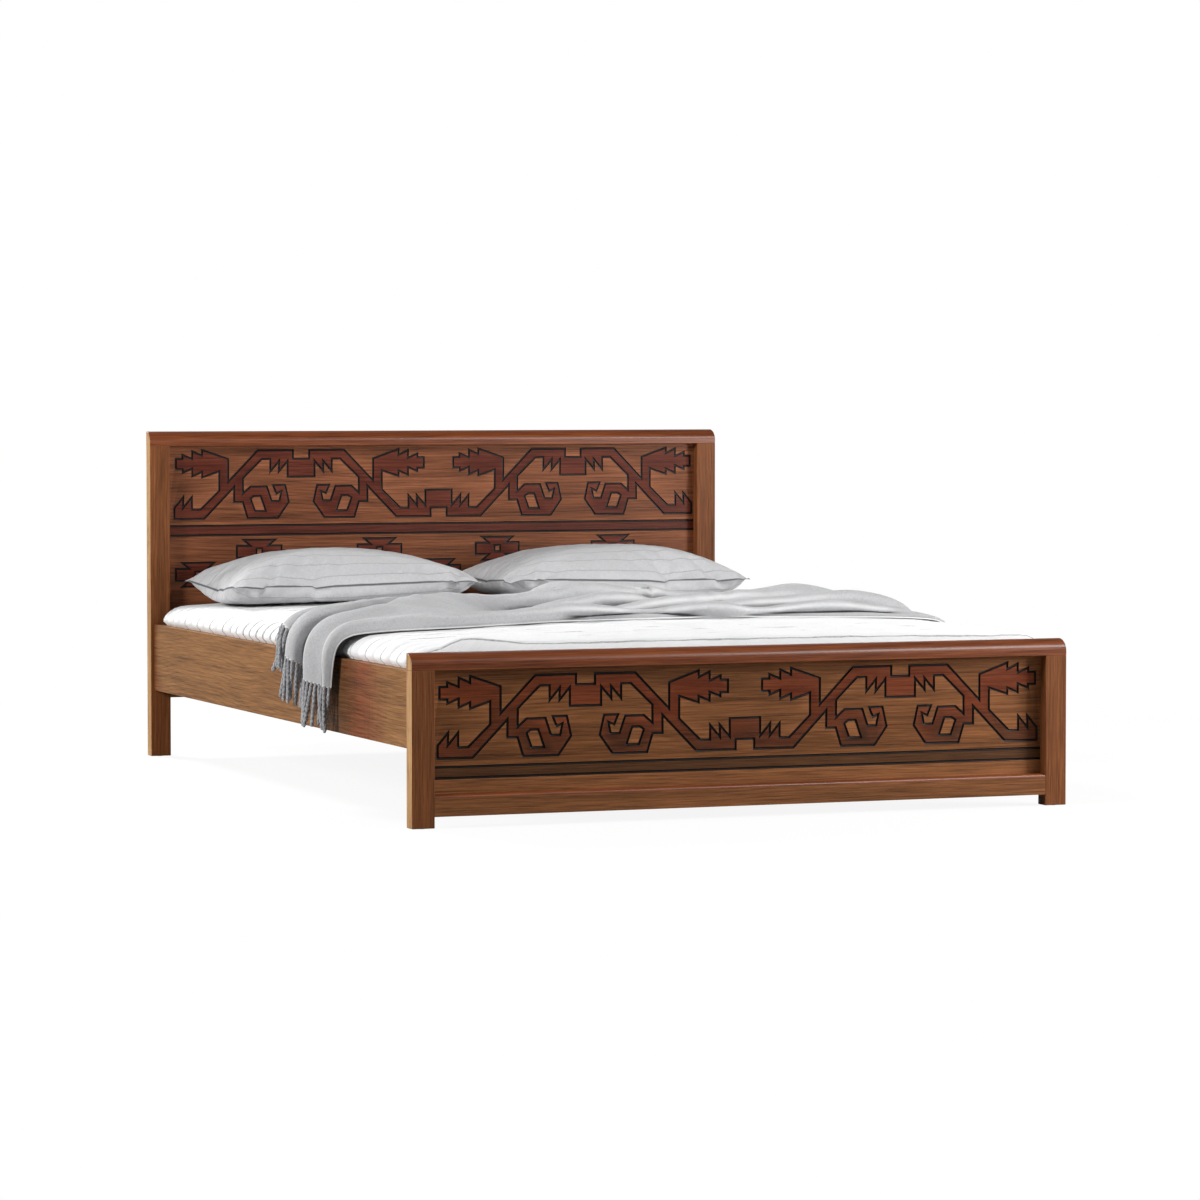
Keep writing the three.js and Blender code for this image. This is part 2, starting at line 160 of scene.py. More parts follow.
def wood(name, axis, dark, middle, light, seed, gloss=0.45, coat=0.03, waves=0.35, streaky=0.35,
         painted_light=None, depth=0.25 * MM, shine=0.12):
    """Lacquered wood along one axis, in three screen colours: bands, growth rings, fibres, pores.

    `waves` is the strength of the rings, and `painted_light` adds painted shade to a part of the board.
    """
    g = Graph(name)
    dark, middle, light = linear(*dark), linear(*middle), linear(*light)

    def grain(across, along, **settings):
        """A noise with so many features per metre across the board and along it."""
        scale = tuple(along if on else across for on in ALONG[axis])
        return g.noise(g.stretched(scale, offset=(seed, seed * 0.7, seed * 1.3)), **settings)

    bands = grain(55, 2.2, detail=5, distortion=0.4)
    fibres = grain(420, 9, detail=4, roughness=0.65)
    pores = grain(900, 26, detail=2)

    # growth rings: the place across the board, pushed about by slow noise, cut into thin lines
    drift = g.times(grain(2.5, 1.6, detail=1), RING_DRIFT)
    ripple = g.times(grain(14, 8, detail=2), RING_RIPPLE)
    pushed = g.plus(g.plus(g.times(g.axis(ACROSS[axis]), RINGS_PER_METRE), drift), ripple)
    ring = g.ramp(g.math("FRACT", pushed), *RING_TONES)
    streak_mask = g.ramp(grain(150, 6, detail=3, distortion=0.25), (0.54, 0.0), (0.68, 1.0))

    tone = g.plus(g.spread(bands, 0.08, 0.54), g.spread(fibres, -0.12, 0.38))
    tone = g.plus(tone, g.times(g.minus(ring, 0.7), waves), clamp=True)
    color = g.ramp(tone, (0.05, dark), (0.5, middle), (0.95, light))
    color = g.blend(g.times(streak_mask, streaky), color, tuple(c * 0.6 for c in dark))
    pore_mask = g.ramp(pores, (0.28, 1.0), (0.40, 0.0))
    color = g.blend(g.times(pore_mask, 0.45), color, tuple(c * 0.35 for c in dark))
    if painted_light is not None:
        color = painted_light(g, color)

    # Convex edges are paled: partly real wear, partly a painted highlight along the arrises.
    wear_and_highlight = g.node("ShaderNodeNewGeometry").outputs["Pointiness"]
    edge = g.times(g.ramp(wear_and_highlight, (0.505, 0.0), (0.56, 1.0)), g.spread(fibres, 0.05, 0.4))
    color = g.blend(edge, color, tuple(min(1.0, c * 1.9 + 0.02) for c in light))

    relief = g.minus(g.times(fibres, 0.5), g.times(pore_mask, 0.7))
    rough = g.spread(g.plus(g.times(fibres, 0.6), g.times(bands, 0.4)), gloss - 0.07, gloss + 0.12)
    return g.surface(base_color=color, roughness=rough, normal=g.bump(relief, depth, 0.8),
                     coat_weight=coat, coat_roughness=LACQUER_BLUR, specular_ior_level=shine)


# What these stretches of board multiply the wood's colour by: painted shade, red-tinted on the side
# rails, and on the panel's stain partly painted shade.
HEAD_END_SHADE = (0.80, 0.60, 0.62)
RED_SHADE = (0.72, 0.30, 0.34)
DARK_SHADE = (0.42, 0.58, 0.56)
LOW_STAIN_SHADE = (0.30, 0.56, 0.66)
THROW_SHADE_SPAN = (-0.84, -0.38)  # along the rail, in metres
HEAD_END_SHADE_SPAN = (0.92, 0.99)
LOW_STAIN_SHADE_SPAN = (0.145, 0.26)  # up the panel, in metres


def stain_with_low_shade(g, color):
    """The stain turning darker and less red towards the bottom of the footboard's panel: partly the
    stain's own change, partly painted shade low down.
    """
    height = g.axis("Z")
    clouds = g.spread(g.noise(g.point, scale=5, detail=2), -0.05, 0.05)
    share = g.spread(g.plus(height, clouds), 1.0, 0.0, *LOW_STAIN_SHADE_SPAN)
    return g.blend(share, color, LOW_STAIN_SHADE, "MULTIPLY")


def painted_rail_shade(g, color):
    """Painted red and dark shade on the side rails beside the throw, and a red-tinted painted shade at
    the head end.
    """
    along = g.axis("Y")
    cloudy = g.plus(along, g.spread(g.noise(g.point, scale=7, detail=3), -0.03, 0.03))
    ragged = g.plus(cloudy, g.spread(g.noise(g.stretched((3, 130, 9))), -0.03, 0.03))
    place = g.spread(ragged, 0.0, 1.0, *THROW_SHADE_SPAN)
    # painted shade where the throw shades the rail: a red tint, with a darker core
    red = g.ramp(place, (0.0, 0.0), (0.15, 0.5), (0.35, 1.0), (0.8, 0.8), (0.95, 0.0))
    dark = g.ramp(place, (0.4, 0.0), (0.52, 0.6), (0.62, 1.0), (0.8, 1.0), (0.95, 0.0))
    color = g.blend(red, color, RED_SHADE, "MULTIPLY")
    color = g.blend(dark, color, DARK_SHADE, "MULTIPLY")
    # red-tinted painted shade at the head end, by the headboard
    return g.blend(g.spread(cloudy, 0.0, 1.0, *HEAD_END_SHADE_SPAN), color, HEAD_END_SHADE, "MULTIPLY")


# ---------- cloth, metal and plastic ----------

SEAM_SHADE = (60, 60, 62)
# painted shade for the throw's hollows and painted highlight for its ridges
FOLD_SHADE = (40, 40, 42)
FOLD_HIGHLIGHT = (244, 244, 244)


def woven(name, color, shade, pitch, fuzz, weave_depth=0.25, stripes=None, seam=None,
          painted_fold_shade=False):
    """A plain weave on UVs in metres, with (period, width, colour) stripes where asked.

    `seam` is half the size of a sewn rectangle. `painted_fold_shade` paints shade into the hollows and
    highlights onto the ridges.
    """
    g = Graph(name)
    turns = 2 * math.pi / pitch
    axes = g.node("ShaderNodeSeparateXYZ", {"Vector": g.uv}).outputs
    warp = g.math("SINE", g.times(axes["X"], turns))
    weft = g.math("SINE", g.times(axes["Y"], turns))
    checks = g.times(warp, weft)
    slub = g.noise(g.stretched((90, 700, 1), g.uv), detail=3)
    cross_slub = g.noise(g.stretched((700, 90, 1), g.uv), detail=3)
    blotch = g.noise(g.point, scale=7, detail=3)
    fibre = g.plus(g.times(slub, 0.5), g.times(cross_slub, 0.5))
    tone = g.plus(g.spread(fibre, 0.0, 0.8, 0.35, 0.65), g.times(checks, 0.16))
    tone = g.plus(tone, g.spread(blotch, -0.12, 0.12), clamp=True)
    cloth = g.blend(tone, linear(*shade), linear(*color))
    height = g.plus(checks, g.times(fibre, 2.0))
    if stripes:
        period, width, dark = stripes
        offset = g.math("FRACT", g.math("DIVIDE", axes["Y"], period))
        from_middle = g.math("ABSOLUTE", g.minus(offset, 0.5))
        line = g.math("LESS_THAN", from_middle, width / period / 2)
        share = g.times(line, g.spread(slub, 0.25, 0.8, 0.35, 0.65))
        cloth = g.blend(share, cloth, linear(*dark))
        height = g.minus(height, g.times(line, 2.5))
    if seam:
        gaps = [g.minus(half, g.math("ABSOLUTE", axes[a])) for a, half in zip("XY", seam)]
        # a dark line along the seam: painted shade under the seam
        line = g.spread(g.math("MINIMUM", *gaps), 0.85, 0.0, 1.5 * MM, 4 * MM)
        cloth = g.blend(line, cloth, linear(*SEAM_SHADE))
    if painted_fold_shade:
        # painted shade in the hollows of the folds and painted highlight on their ridges
        bend = g.node("ShaderNodeNewGeometry").outputs["Pointiness"]
        cloth = g.blend(g.ramp(bend, (0.472, 0.95), (0.4985, 0.0)), cloth, linear(*FOLD_SHADE))
        cloth = g.blend(g.ramp(bend, (0.507, 0.0), (0.545, 0.8)), cloth, linear(*FOLD_HIGHLIGHT))
    return g.surface(base_color=cloth, roughness=g.spread(fibre, 0.82, 0.98),
                     normal=g.bump(height, weave_depth * MM, 0.7), sheen_weight=fuzz,
                     sheen_roughness=0.5, specular_ior_level=0.2)


def speckled(name, dark, light, scale, detail, rough, relief, **shine):
    """A material whose colour, roughness and relief all follow one noise."""
    g = Graph(name)
    noise = g.noise(g.stretched(scale), detail=detail)
    color = g.ramp(noise, (0.3, linear(*dark)), (0.7, linear(*light)))
    return g.surface(base_color=color, roughness=g.spread(noise, *rough),
                     normal=g.bump(noise, *relief), **shine)


def zinc_steel(name):
    g = Graph(name)
    spangle = g.node("ShaderNodeTexVoronoi", {"Vector": g.point, "Scale": 160.0}).outputs["Distance"]
    scratch = g.noise(g.stretched((60, 60, 900)), detail=4)
    color = g.ramp(spangle, (0.0, linear(150, 153, 156)), (1.0, linear(188, 190, 192)))
    return g.surface(base_color=color, metallic=1.0, roughness=g.spread(scratch, 0.28, 0.5),
                     normal=g.bump(scratch, 0.05 * MM, 0.5))


def moulded_plastic(name):
    g = Graph(name)
    grain = g.noise(g.point, scale=900, detail=2)
    scuff = g.noise(g.stretched((140, 140, 20)), detail=5)
    color = g.ramp(scuff, (0.35, linear(34, 31, 29)), (0.75, linear(58, 53, 50)))
    return g.surface(base_color=color, roughness=g.spread(scuff, 0.45, 0.7),
                     normal=g.bump(grain, 0.08 * MM, 0.6))


POST = wood("post_brown", "z", (67, 38, 16), (100, 56, 28), (131, 78, 40), seed=3, waves=0.3)
# Paler, less saturated tan for the outward faces of the posts and the ends of the caps: a painted sheen
# of the light from the side.
POST_SIDE_SHEEN = wood("post_tan", "z", (111, 80, 51), (148, 111, 73), (176, 140, 97), seed=4, coat=0.0,
                 waves=0.25, shine=0.05)
PANEL = wood("panel_brown", "x", (70, 40, 21), (110, 68, 37), (144, 91, 51), seed=5, waves=0.28)
HEAD_PANEL = wood("panel_warm", "x", (69, 39, 23), (110, 64, 40), (140, 85, 54), seed=9, waves=0.3)
MAHOGANY = wood("mahogany", "x", (60, 23, 4), (104, 46, 12), (131, 69, 22), seed=11, gloss=0.34,
                coat=0.4, waves=0.15, depth=0.06 * MM, shine=0.3)
LOWER_RAIL = wood("lower_rail_brown", "x", (70, 42, 21), (107, 66, 37), (141, 89, 50), seed=13)
# The kilim stain, partly with painted shade low down on the footboard's panel.
STAIN = wood("kilim_stain", "x", (66, 24, 10), (103, 45, 19), (125, 62, 30), seed=5, waves=0.2,
             painted_light=stain_with_low_shade)
HEAD_STAIN = wood("kilim_stain_red", "x", (53, 17, 9), (82, 33, 19), (103, 48, 29), seed=9, waves=0.2)
BAND = wood("dark_band", "x", (44, 24, 9), (68, 39, 16), (89, 55, 26), seed=17, waves=0.2)
HEAD_BAND = wood("head_band", "x", (36, 10, 4), (68, 26, 13), (89, 39, 23), seed=19, waves=0.15)
# The side rails, with painted shade beside the throw and at the head end.
SIDE_RAIL = wood("rail_wood", "y", (73, 44, 23), (116, 79, 46), (145, 105, 67), seed=21, coat=0.0,
                 waves=0.34, streaky=0.3, shine=0.04, painted_light=painted_rail_shade)
PINE = ((182, 138, 90), (210, 170, 118), (228, 194, 146))
SLAT = wood("slat_pine", "x", (186, 142, 92), (214, 174, 122), (232, 198, 150), seed=25, coat=0.0,
            gloss=0.65)
BEAM = wood("beam_pine", "y", *PINE, seed=27, coat=0.0, gloss=0.65)
LEG = wood("leg_pine", "z", *PINE, seed=29, coat=0.0, gloss=0.65)
GROOVE = speckled("groove_paint", (9, 5, 5), (20, 12, 11), (60, 60, 60), 5, rough=(0.38, 0.6),
                  relief=(0.2 * MM, 0.6), specular_ior_level=0.3)
STEEL = zinc_steel("zinc_steel")
PLASTIC = moulded_plastic("moulded_plastic")
CHANNEL_PITCH = 55 * MM
# The ticking's dark stripes lie along the stitched channels: stitching, and painted shade in the
# channels' grooves.
TICKING = woven("white_ticking", (243, 243, 243), (231, 231, 232), pitch=1.6 * MM, fuzz=0.05,
                stripes=(CHANNEL_PITCH, 9 * MM, (70, 70, 73)))
# The pillowcase's seam line is painted dark as the shade under the seam.
PILLOWCASE = woven("pillow_linen", (209, 209, 210), (183, 183, 185), pitch=1.6 * MM, fuzz=0.08,
                   stripes=(42 * MM, 2.6 * MM, (142, 142, 144)), seam=(0.332, 0.219))
# The throw, with painted shade in the hollows of its folds and painted highlights on their ridges.
THROW = woven("grey_wool", (207, 207, 208), (170, 170, 172), pitch=4.2 * MM, fuzz=0.04,
              weave_depth=0.8, painted_fold_shade=True)
FRINGE = speckled("grey_yarn", (96, 96, 99), (180, 180, 182), (500, 500, 160), 4,
                  rough=(0.85, 1.0), relief=(0.5 * MM, 0.9), sheen_weight=0.3, specular_ior_level=0.2)


# ---------- mesh helpers ----------

SAME_POINT = 1e-5
FLAT_WEIGHT = 60


def placed_object(name, data):
    made = bpy.data.objects.new(name, data)
    bpy.context.scene.collection.objects.link(made)
    return made


def new_piece(name, mesh, materials, body, stands_for):
    piece = placed_object(name, mesh)
    for material in materials:
        mesh.materials.append(material)
    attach(piece, body)
    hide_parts(stands_for)
    return piece


def wood_piece(node, kind, mesh, materials):
    """A piece of the bedstead in place of a CAD node, with its flat faces kept flat."""
    piece = new_piece(node + kind, mesh, materials, "bedstead", node)
    modifier = piece.modifiers.new("flat faces stay flat", "WEIGHTED_NORMAL")
    modifier.keep_sharp = True
    modifier.weight = FLAT_WEIGHT


def mesh_of(name, points, faces, face_materials=None, sharp_degrees=None):
    mesh = bpy.data.meshes.new(name)
    mesh.from_pydata([tuple(p) for p in points], [], [tuple(int(i) for i in f) for f in faces])
    if face_materials is not None:
        mesh.polygons.foreach_set("material_index", list(face_materials))
    finish_normals(mesh, sharp_degrees)
    return mesh


def finish_normals(mesh, sharp_degrees=None):
    mesh.update()
    mesh.polygons.foreach_set("use_smooth", [True] * len(mesh.polygons))
    if sharp_degrees is not None:
        mesh.set_sharp_from_angle(angle=math.radians(sharp_degrees))
    mesh.validate()
    mesh.update()


def mesh_from(bm, name, sharp_degrees):
    mesh = bpy.data.meshes.new(name)
    bm.to_mesh(mesh)
    bm.free()
    finish_normals(mesh, sharp_degrees)
    return mesh


def cad_bmesh(node):
    """The CAD node's mesh, with its faces joined at their corners."""
    bm = bmesh.new()
    bm.from_mesh(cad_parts[node].data)
    bmesh.ops.remove_doubles(bm, verts=bm.verts, dist=SAME_POINT)
    return bm


def subdivide(piece):
    finer = piece.modifiers.new("finer", "SUBSURF")
    finer.levels = finer.render_levels = 1


def write_uv(mesh, coordinates):
    layer = mesh.uv_layers.new(name="metres")
    loops = np.zeros(len(mesh.loops), np.int32)
    mesh.loops.foreach_get("vertex_index", loops)
    layer.data.foreach_set("uv", np.asarray(coordinates, np.float32)[loops].ravel())


# ---------- boards: softened copies of the CAD nodes ----------

ARRIS = 1.3 * MM
SHORT_EDGE = 25 * MM  # edges shorter than this stay sharp
SHARP_WOOD = 50  # degrees


def board(node, material, sheen_side_material=None):
    """The CAD node with its triangles merged and its long outer edges rounded.

    A second material, a paler tan that paints the sheen of the light from the side, goes on the face
    that looks away from the bed's middle.
    """
    bm = cad_bmesh(node)
    bmesh.ops.dissolve_limit(bm, angle_limit=math.radians(0.5), verts=bm.verts, edges=bm.edges)
    long_edges = [e for e in bm.edges if e.calc_length() > SHORT_EDGE and len(e.link_faces) == 2
                  and e.is_convex and e.calc_face_angle() > math.radians(60)]
    bmesh.ops.bevel(bm, geom=long_edges, offset=ARRIS, segments=3, profile=0.5, affect="EDGES",
                    clamp_overlap=False, offset_type="OFFSET")
    mesh = mesh_from(bm, node + "_wood", SHARP_WOOD)
    if sheen_side_material is not None:
        for f in mesh.polygons:
            f.material_index = int(f.normal.x * math.copysign(1, f.center.x) > 0.9)
    materials = [m for m in (material, sheen_side_material) if m is not None]
    wood_piece(node, "_wood", mesh, materials)


def profiled(node, section, materials, material_of):
    """A rail of one (y, z) section along the node's length, with its sharp edges rounded."""
    low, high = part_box(node)
    bm = bmesh.new()
    ring = [bm.verts.new((low.x, y, z)) for y, z in section]
    face = bm.faces.new(ring)
    made = bmesh.ops.extrude_face_region(bm, geom=[face])
    moved = [v for v in made["geom"] if isinstance(v, bmesh.types.BMVert)]
    bmesh.ops.translate(bm, vec=(high.x - low.x, 0, 0), verts=moved)
    bmesh.ops.recalc_face_normals(bm, faces=bm.faces)
    sharp = [e for e in bm.edges if e.calc_face_angle(0) > math.radians(25)]
    bmesh.ops.bevel(bm, geom=sharp, offset=ARRIS * 0.7, segments=3, profile=0.5, affect="EDGES",
                    clamp_overlap=True)
    for f in bm.faces:
        f.material_index = material_of(f)
    wood_piece(node, "_wood", mesh_from(bm, node + "_wood", SHARP_WOOD), materials)


CAP_FACE = 9 * MM  # height of the upright part of a cap's front
CAP_STEPS = 28
ROUND_OVER = 9 * MM
ROUND_STEPS = 12
PANEL_GAP = 0.3 * MM


def quarter_turn(steps):
    return [math.pi / 2 * i / steps for i in range(steps + 1)]


def cap(node):
    """The top rail: upright at its foot, then a quarter ellipse up to the back edge."""
    low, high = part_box(node)
    depth, rise = high.y - low.y, high.z - low.z - CAP_FACE
    curve = [(low.y + depth * (1 - math.cos(a)), low.z + CAP_FACE + rise * math.sin(a))
             for a in quarter_turn(CAP_STEPS)]
    section = [(high.y, low.z), (low.y, low.z), *curve]
    # the cap's ends take the tan with painted sheen
    def which(f):
        return int(abs(f.normal.x) > 0.9)
    profiled(node, section, [MAHOGANY, POST_SIDE_SHEEN], which)


def lower_rail(node, panel_node):
    """The bottom rail: its top front edge rounded and mahogany, and a rebate behind for the panel."""
    low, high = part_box(node)
    panel_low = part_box(panel_node)[0]
    groove_bottom = panel_low.z - PANEL_GAP
    curve = [(low.y + ROUND_OVER * (1 - math.cos(a)), high.z - ROUND_OVER * (1 - math.sin(a)))
             for a in quarter_turn(ROUND_STEPS)]
    section = [(low.y, low.z), *curve, (panel_low.y, high.z), (panel_low.y, groove_bottom),
               (high.y, groove_bottom), (high.y, low.z)]
    def which(f):
        rounded = f.normal.y < -0.02 and f.normal.z > 0.08 and abs(f.normal.x) < 0.5
        return int(rounded or (f.normal.z > 0.9 and f.calc_center_median().z > high.z - MM))
    profiled(node, section, [LOWER_RAIL, MAHOGANY], which)


# ---------- carved panels ----------

SHARP_CARVING = 38  # degrees
STRAIGHT = 2e-3  # sine of the smallest turn that counts as a corner
WOOD_PART, STAIN_PART, GROOVE_PART, BAND_PART = range(4)


def rim_loops(node):
    """The outlines on the panel's front face, as lists of the (x, z) points where they turn."""
    bm = cad_bmesh(node)
    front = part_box(node)[0].y
    def on_front(f):
        return f.normal.y < -0.9 and abs(f.calc_center_median().y - front) < 0.1 * MM
    rims = [e for e in bm.edges if sum(on_front(f) for f in e.link_faces) == 1]
    following = {}
    for e in rims:
        a, b = e.verts
        following.setdefault(a, []).append(b)
        following.setdefault(b, []).append(a)
    loops, seen = [], set()
    for start in following:
        if start in seen:
            continue
        loop, last, here = [start], None, start
        while True:
            seen.add(here)
            ahead = [v for v in following[here] if v is not last]
            last, here = here, ahead[0]
            if here is start:
                break
            loop.append(here)
        loops.append(without_straight_points([(v.co.x, v.co.z) for v in loop]))
    bm.free()
    return loops


def without_straight_points(loop):
    """The loop's corners, anticlockwise."""
    kept = []
    for i, (x, z) in enumerate(loop):
        (ax, az), (bx, bz) = loop[i - 1], loop[(i + 1) % len(loop)]
        turn = (x - ax) * (bz - z) - (z - az) * (bx - x)
        lengths = math.hypot(x - ax, z - az) * math.hypot(bx - x, bz - z)
        if abs(turn) > STRAIGHT * lengths:
            kept.append((x, z))
    return kept if area(kept) > 0 else kept[::-1]


def area(loop):
    return sum(a[0] * b[1] - b[0] * a[1] for a, b in zip(loop, loop[1:] + loop[:1])) / 2


def inside(point, loop):
    x, z = point
    crossed = False
    for (ax, az), (bx, bz) in zip(loop, loop[1:] + loop[:1]):
        if (az > z) != (bz > z) and x < ax + (z - az) * (bx - ax) / (bz - az):
            crossed = not crossed
    return crossed


def paired(inner, outer):
    """The inner loop turned so that each point faces the same corner of the outer one."""
    inner, outer = np.array(inner), np.array(outer)
    costs = [np.abs(np.roll(inner, -k, axis=0) - outer).sum() for k in range(len(inner))]
    return np.roll(inner, -int(np.argmin(costs)), axis=0)


# The groove's section from rim to rim: share of the way across it, and depth in millimetres.
GROOVE_HALF = [(0.0, 0.0), (0.02, 0.1), (0.05, 0.5), (0.09, 1.4), (0.15, 2.3), (0.3, 2.9)]
GROOVE_SECTION = GROOVE_HALF + [(0.5, 3.0)] + [(1 - share, sink) for share, sink in GROOVE_HALF[::-1]]


def carved_panel(node, wood_material, stain, band, slot):
    """The panel with every routed groove as a rounded channel, stained inside the kilim figures."""
    low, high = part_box(node)
    loops = sorted(rim_loops(node), key=area, reverse=True)
    depth = [sum(inside(loop[0], other) for other in loops if other is not loop) for loop in loops]
    points, faces, kinds = [], [], []

    def flat(outline, holes, kind):
        base = len(points)
        rings = [[Vector((x, z, 0)) for x, z in ring] for ring in (outline, *holes)]
        flat_points = [p for ring in rings for p in ring]
        points.extend((p.x, low.y, p.y) for p in flat_points)
        for triangle in tessellate_polygon(rings):
            a, b, c = (flat_points[i] for i in triangle)
            up = (b - a).cross(c - a).z > 0
            corners = triangle if up else triangle[::-1]
            faces.append([base + i for i in corners])
            kinds.append(kind)

    def channel(outer, inner, closed=True):
        base, size = len(points), len(outer)
        for share, sink in GROOVE_SECTION:
            ring = np.array(outer) * (1 - share) + np.array(inner) * share
            points.extend((x, low.y + sink * MM, z) for x, z in ring)
        for k in range(len(GROOVE_SECTION) - 1):
            for i in range(size if closed else size - 1):
                j = (i + 1) % size
                faces.append([base + k * size + i, base + k * size + j,
                              base + (k + 1) * size + j, base + (k + 1) * size + i])
                kinds.append(GROOVE_PART)

    # loops nest as rim, rim, rim, rim: even levels bound flat faces, odd ones grooves
    for loop, level in zip(loops, depth):
        inner_loops = [other for other, d in zip(loops, depth)
                       if d == level + 1 and inside(other[0], loop)]
        if level % 2 == 0:
            flat(loop, inner_loops, STAIN_PART if level % 4 == 2 else WOOD_PART)
        elif inner_loops:
            channel(loop, paired(inner_loops[0], loop))
        else:
            xs, zs = sorted({x for x, _ in loop}), sorted({z for _, z in loop})
            channel([(xs[0], zs[0]), (xs[-1], zs[0])], [(xs[0], zs[-1]), (xs[-1], zs[-1])], False)

    # a dark band lies between two straight grooves
    slots = sorted(min(z for _, z in loop) for loop, level in zip(loops, depth)
                   if level == 1 and len(loop) == 4)
    if len(slots) == 2:
        for i, face in enumerate(faces):
            middle = sum(points[v][2] for v in face) / len(face)
            if kinds[i] == WOOD_PART and slots[0] + 5 * MM < middle < slots[1] + 1 * MM:
                kinds[i] = BAND_PART

    base = len(points)
    border = [(low.x, low.z), (high.x, low.z), (high.x, high.z), (low.x, high.z)]
    points.extend((x, low.y, z) for x, z in border)
    points.extend((x, high.y, z) for x, z in border)
    for i in range(4):
        j = (i + 1) % 4
        faces.append([base + j, base + i, base + 4 + i, base + 4 + j])
        kinds.append(WOOD_PART)
    faces.append([base + 7, base + 6, base + 5, base + 4])
    kinds.append(WOOD_PART)

    loose = mesh_of(node + "_loose", points, faces, kinds)
    bm = bmesh.new()
    bm.from_mesh(loose)
    bpy.data.meshes.remove(loose)
    bmesh.ops.remove_doubles(bm, verts=bm.verts, dist=SAME_POINT / 10)
    bmesh.ops.recalc_face_normals(bm, faces=bm.faces)
    mesh = mesh_from(bm, node + "_carved", SHARP_CARVING)
    wood_piece(node, "_carved", mesh, [wood_material, stain, GROOVE, band])


# ---------- bedstead ----------

SIDES = ("left", "right")
BOARD_WOODS = {"footboard": (PANEL, STAIN, BAND), "headboard": (HEAD_PANEL, HEAD_STAIN, HEAD_BAND)}
for end, woods in BOARD_WOODS.items():
    carved_panel(end + "_panel", *woods, "panel_wood")
    cap(end + "_cap")
    lower_rail(end + "_bottom_rail", end + "_panel")
    for side in SIDES:
        board(f"{end}_post_{side}", POST, POST_SIDE_SHEEN)

for side in SIDES:
    board("side_rail_" + side, SIDE_RAIL)
    board("slat_ledger_" + side, BEAM)
board("middle_beam", BEAM)
for place in ("foot", "centre", "head"):
    board("support_leg_" + place, LEG)
for node in sorted(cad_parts):
    if node.startswith("slat_") and node[5:].isdigit():
        board(node, SLAT)
for node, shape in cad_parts.items():
    fitting = STEEL if node.startswith(("rail_hook", "post_receiver")) else None
    if "glide" in node or node.startswith("support_foot"):
        fitting = PLASTIC
    if fitting:
        shape.data.materials.clear()
        shape.data.materials.append(fitting)


# ---------- mattress ----------

MATTRESS_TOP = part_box("mattress")[1].z
RAIL_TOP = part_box("side_rail_left")[1].z
MATTRESS_HALF = np.array([749, 1003, 84]) * MM
MATTRESS_EDGES = np.array([56, 52, 40]) * MM  # radii of the rounded edges
OVER_RAIL = 15 * MM  # how far its sides swell out over the rails
CHANNEL_DEPTH = 3.6 * MM
# Corners that bulge above the footboard: x, half width towards the middle and outwards, height.
FOOT_LOBES = [(-0.652, 0.12, 0.03, 21 * MM), (0.70, 0.07, 0.03, 6 * MM)]
QUILTED_CELLS = (72, 380, 14)
SUPPORT_CELLS = (40, 60, 8)


def smooth(value, start, end):
    t = np.clip((value - start) / (end - start), 0, 1)
    return t * t * (3 - 2 * t)


def box_grid(counts):
    """Points and faces of a box from -1 to 1 divided into a grid on each side."""
    points, index, faces = [], {}, []
    def corner(i, j, k):
        key = (i, j, k)
        if key not in index:
            index[key] = len(points)
            points.append([2 * a / n - 1 for a, n in zip(key, counts)])
        return index[key]
    for axis in range(3):
        b, c = [a for a in range(3) if a != axis]
        for end in (0, counts[axis]):
            for i in range(counts[b]):
                for j in range(counts[c]):
                    ring = []
                    for di, dj in ((0, 0), (1, 0), (1, 1), (0, 1)):
                        key = [0, 0, 0]
                        key[axis], key[b], key[c] = end, i + di, j + dj
                        ring.append(corner(*key))
                    forward = (end > 0) == (axis != 1)
                    faces.append(ring if forward else ring[::-1])
    return np.array(points, float), faces


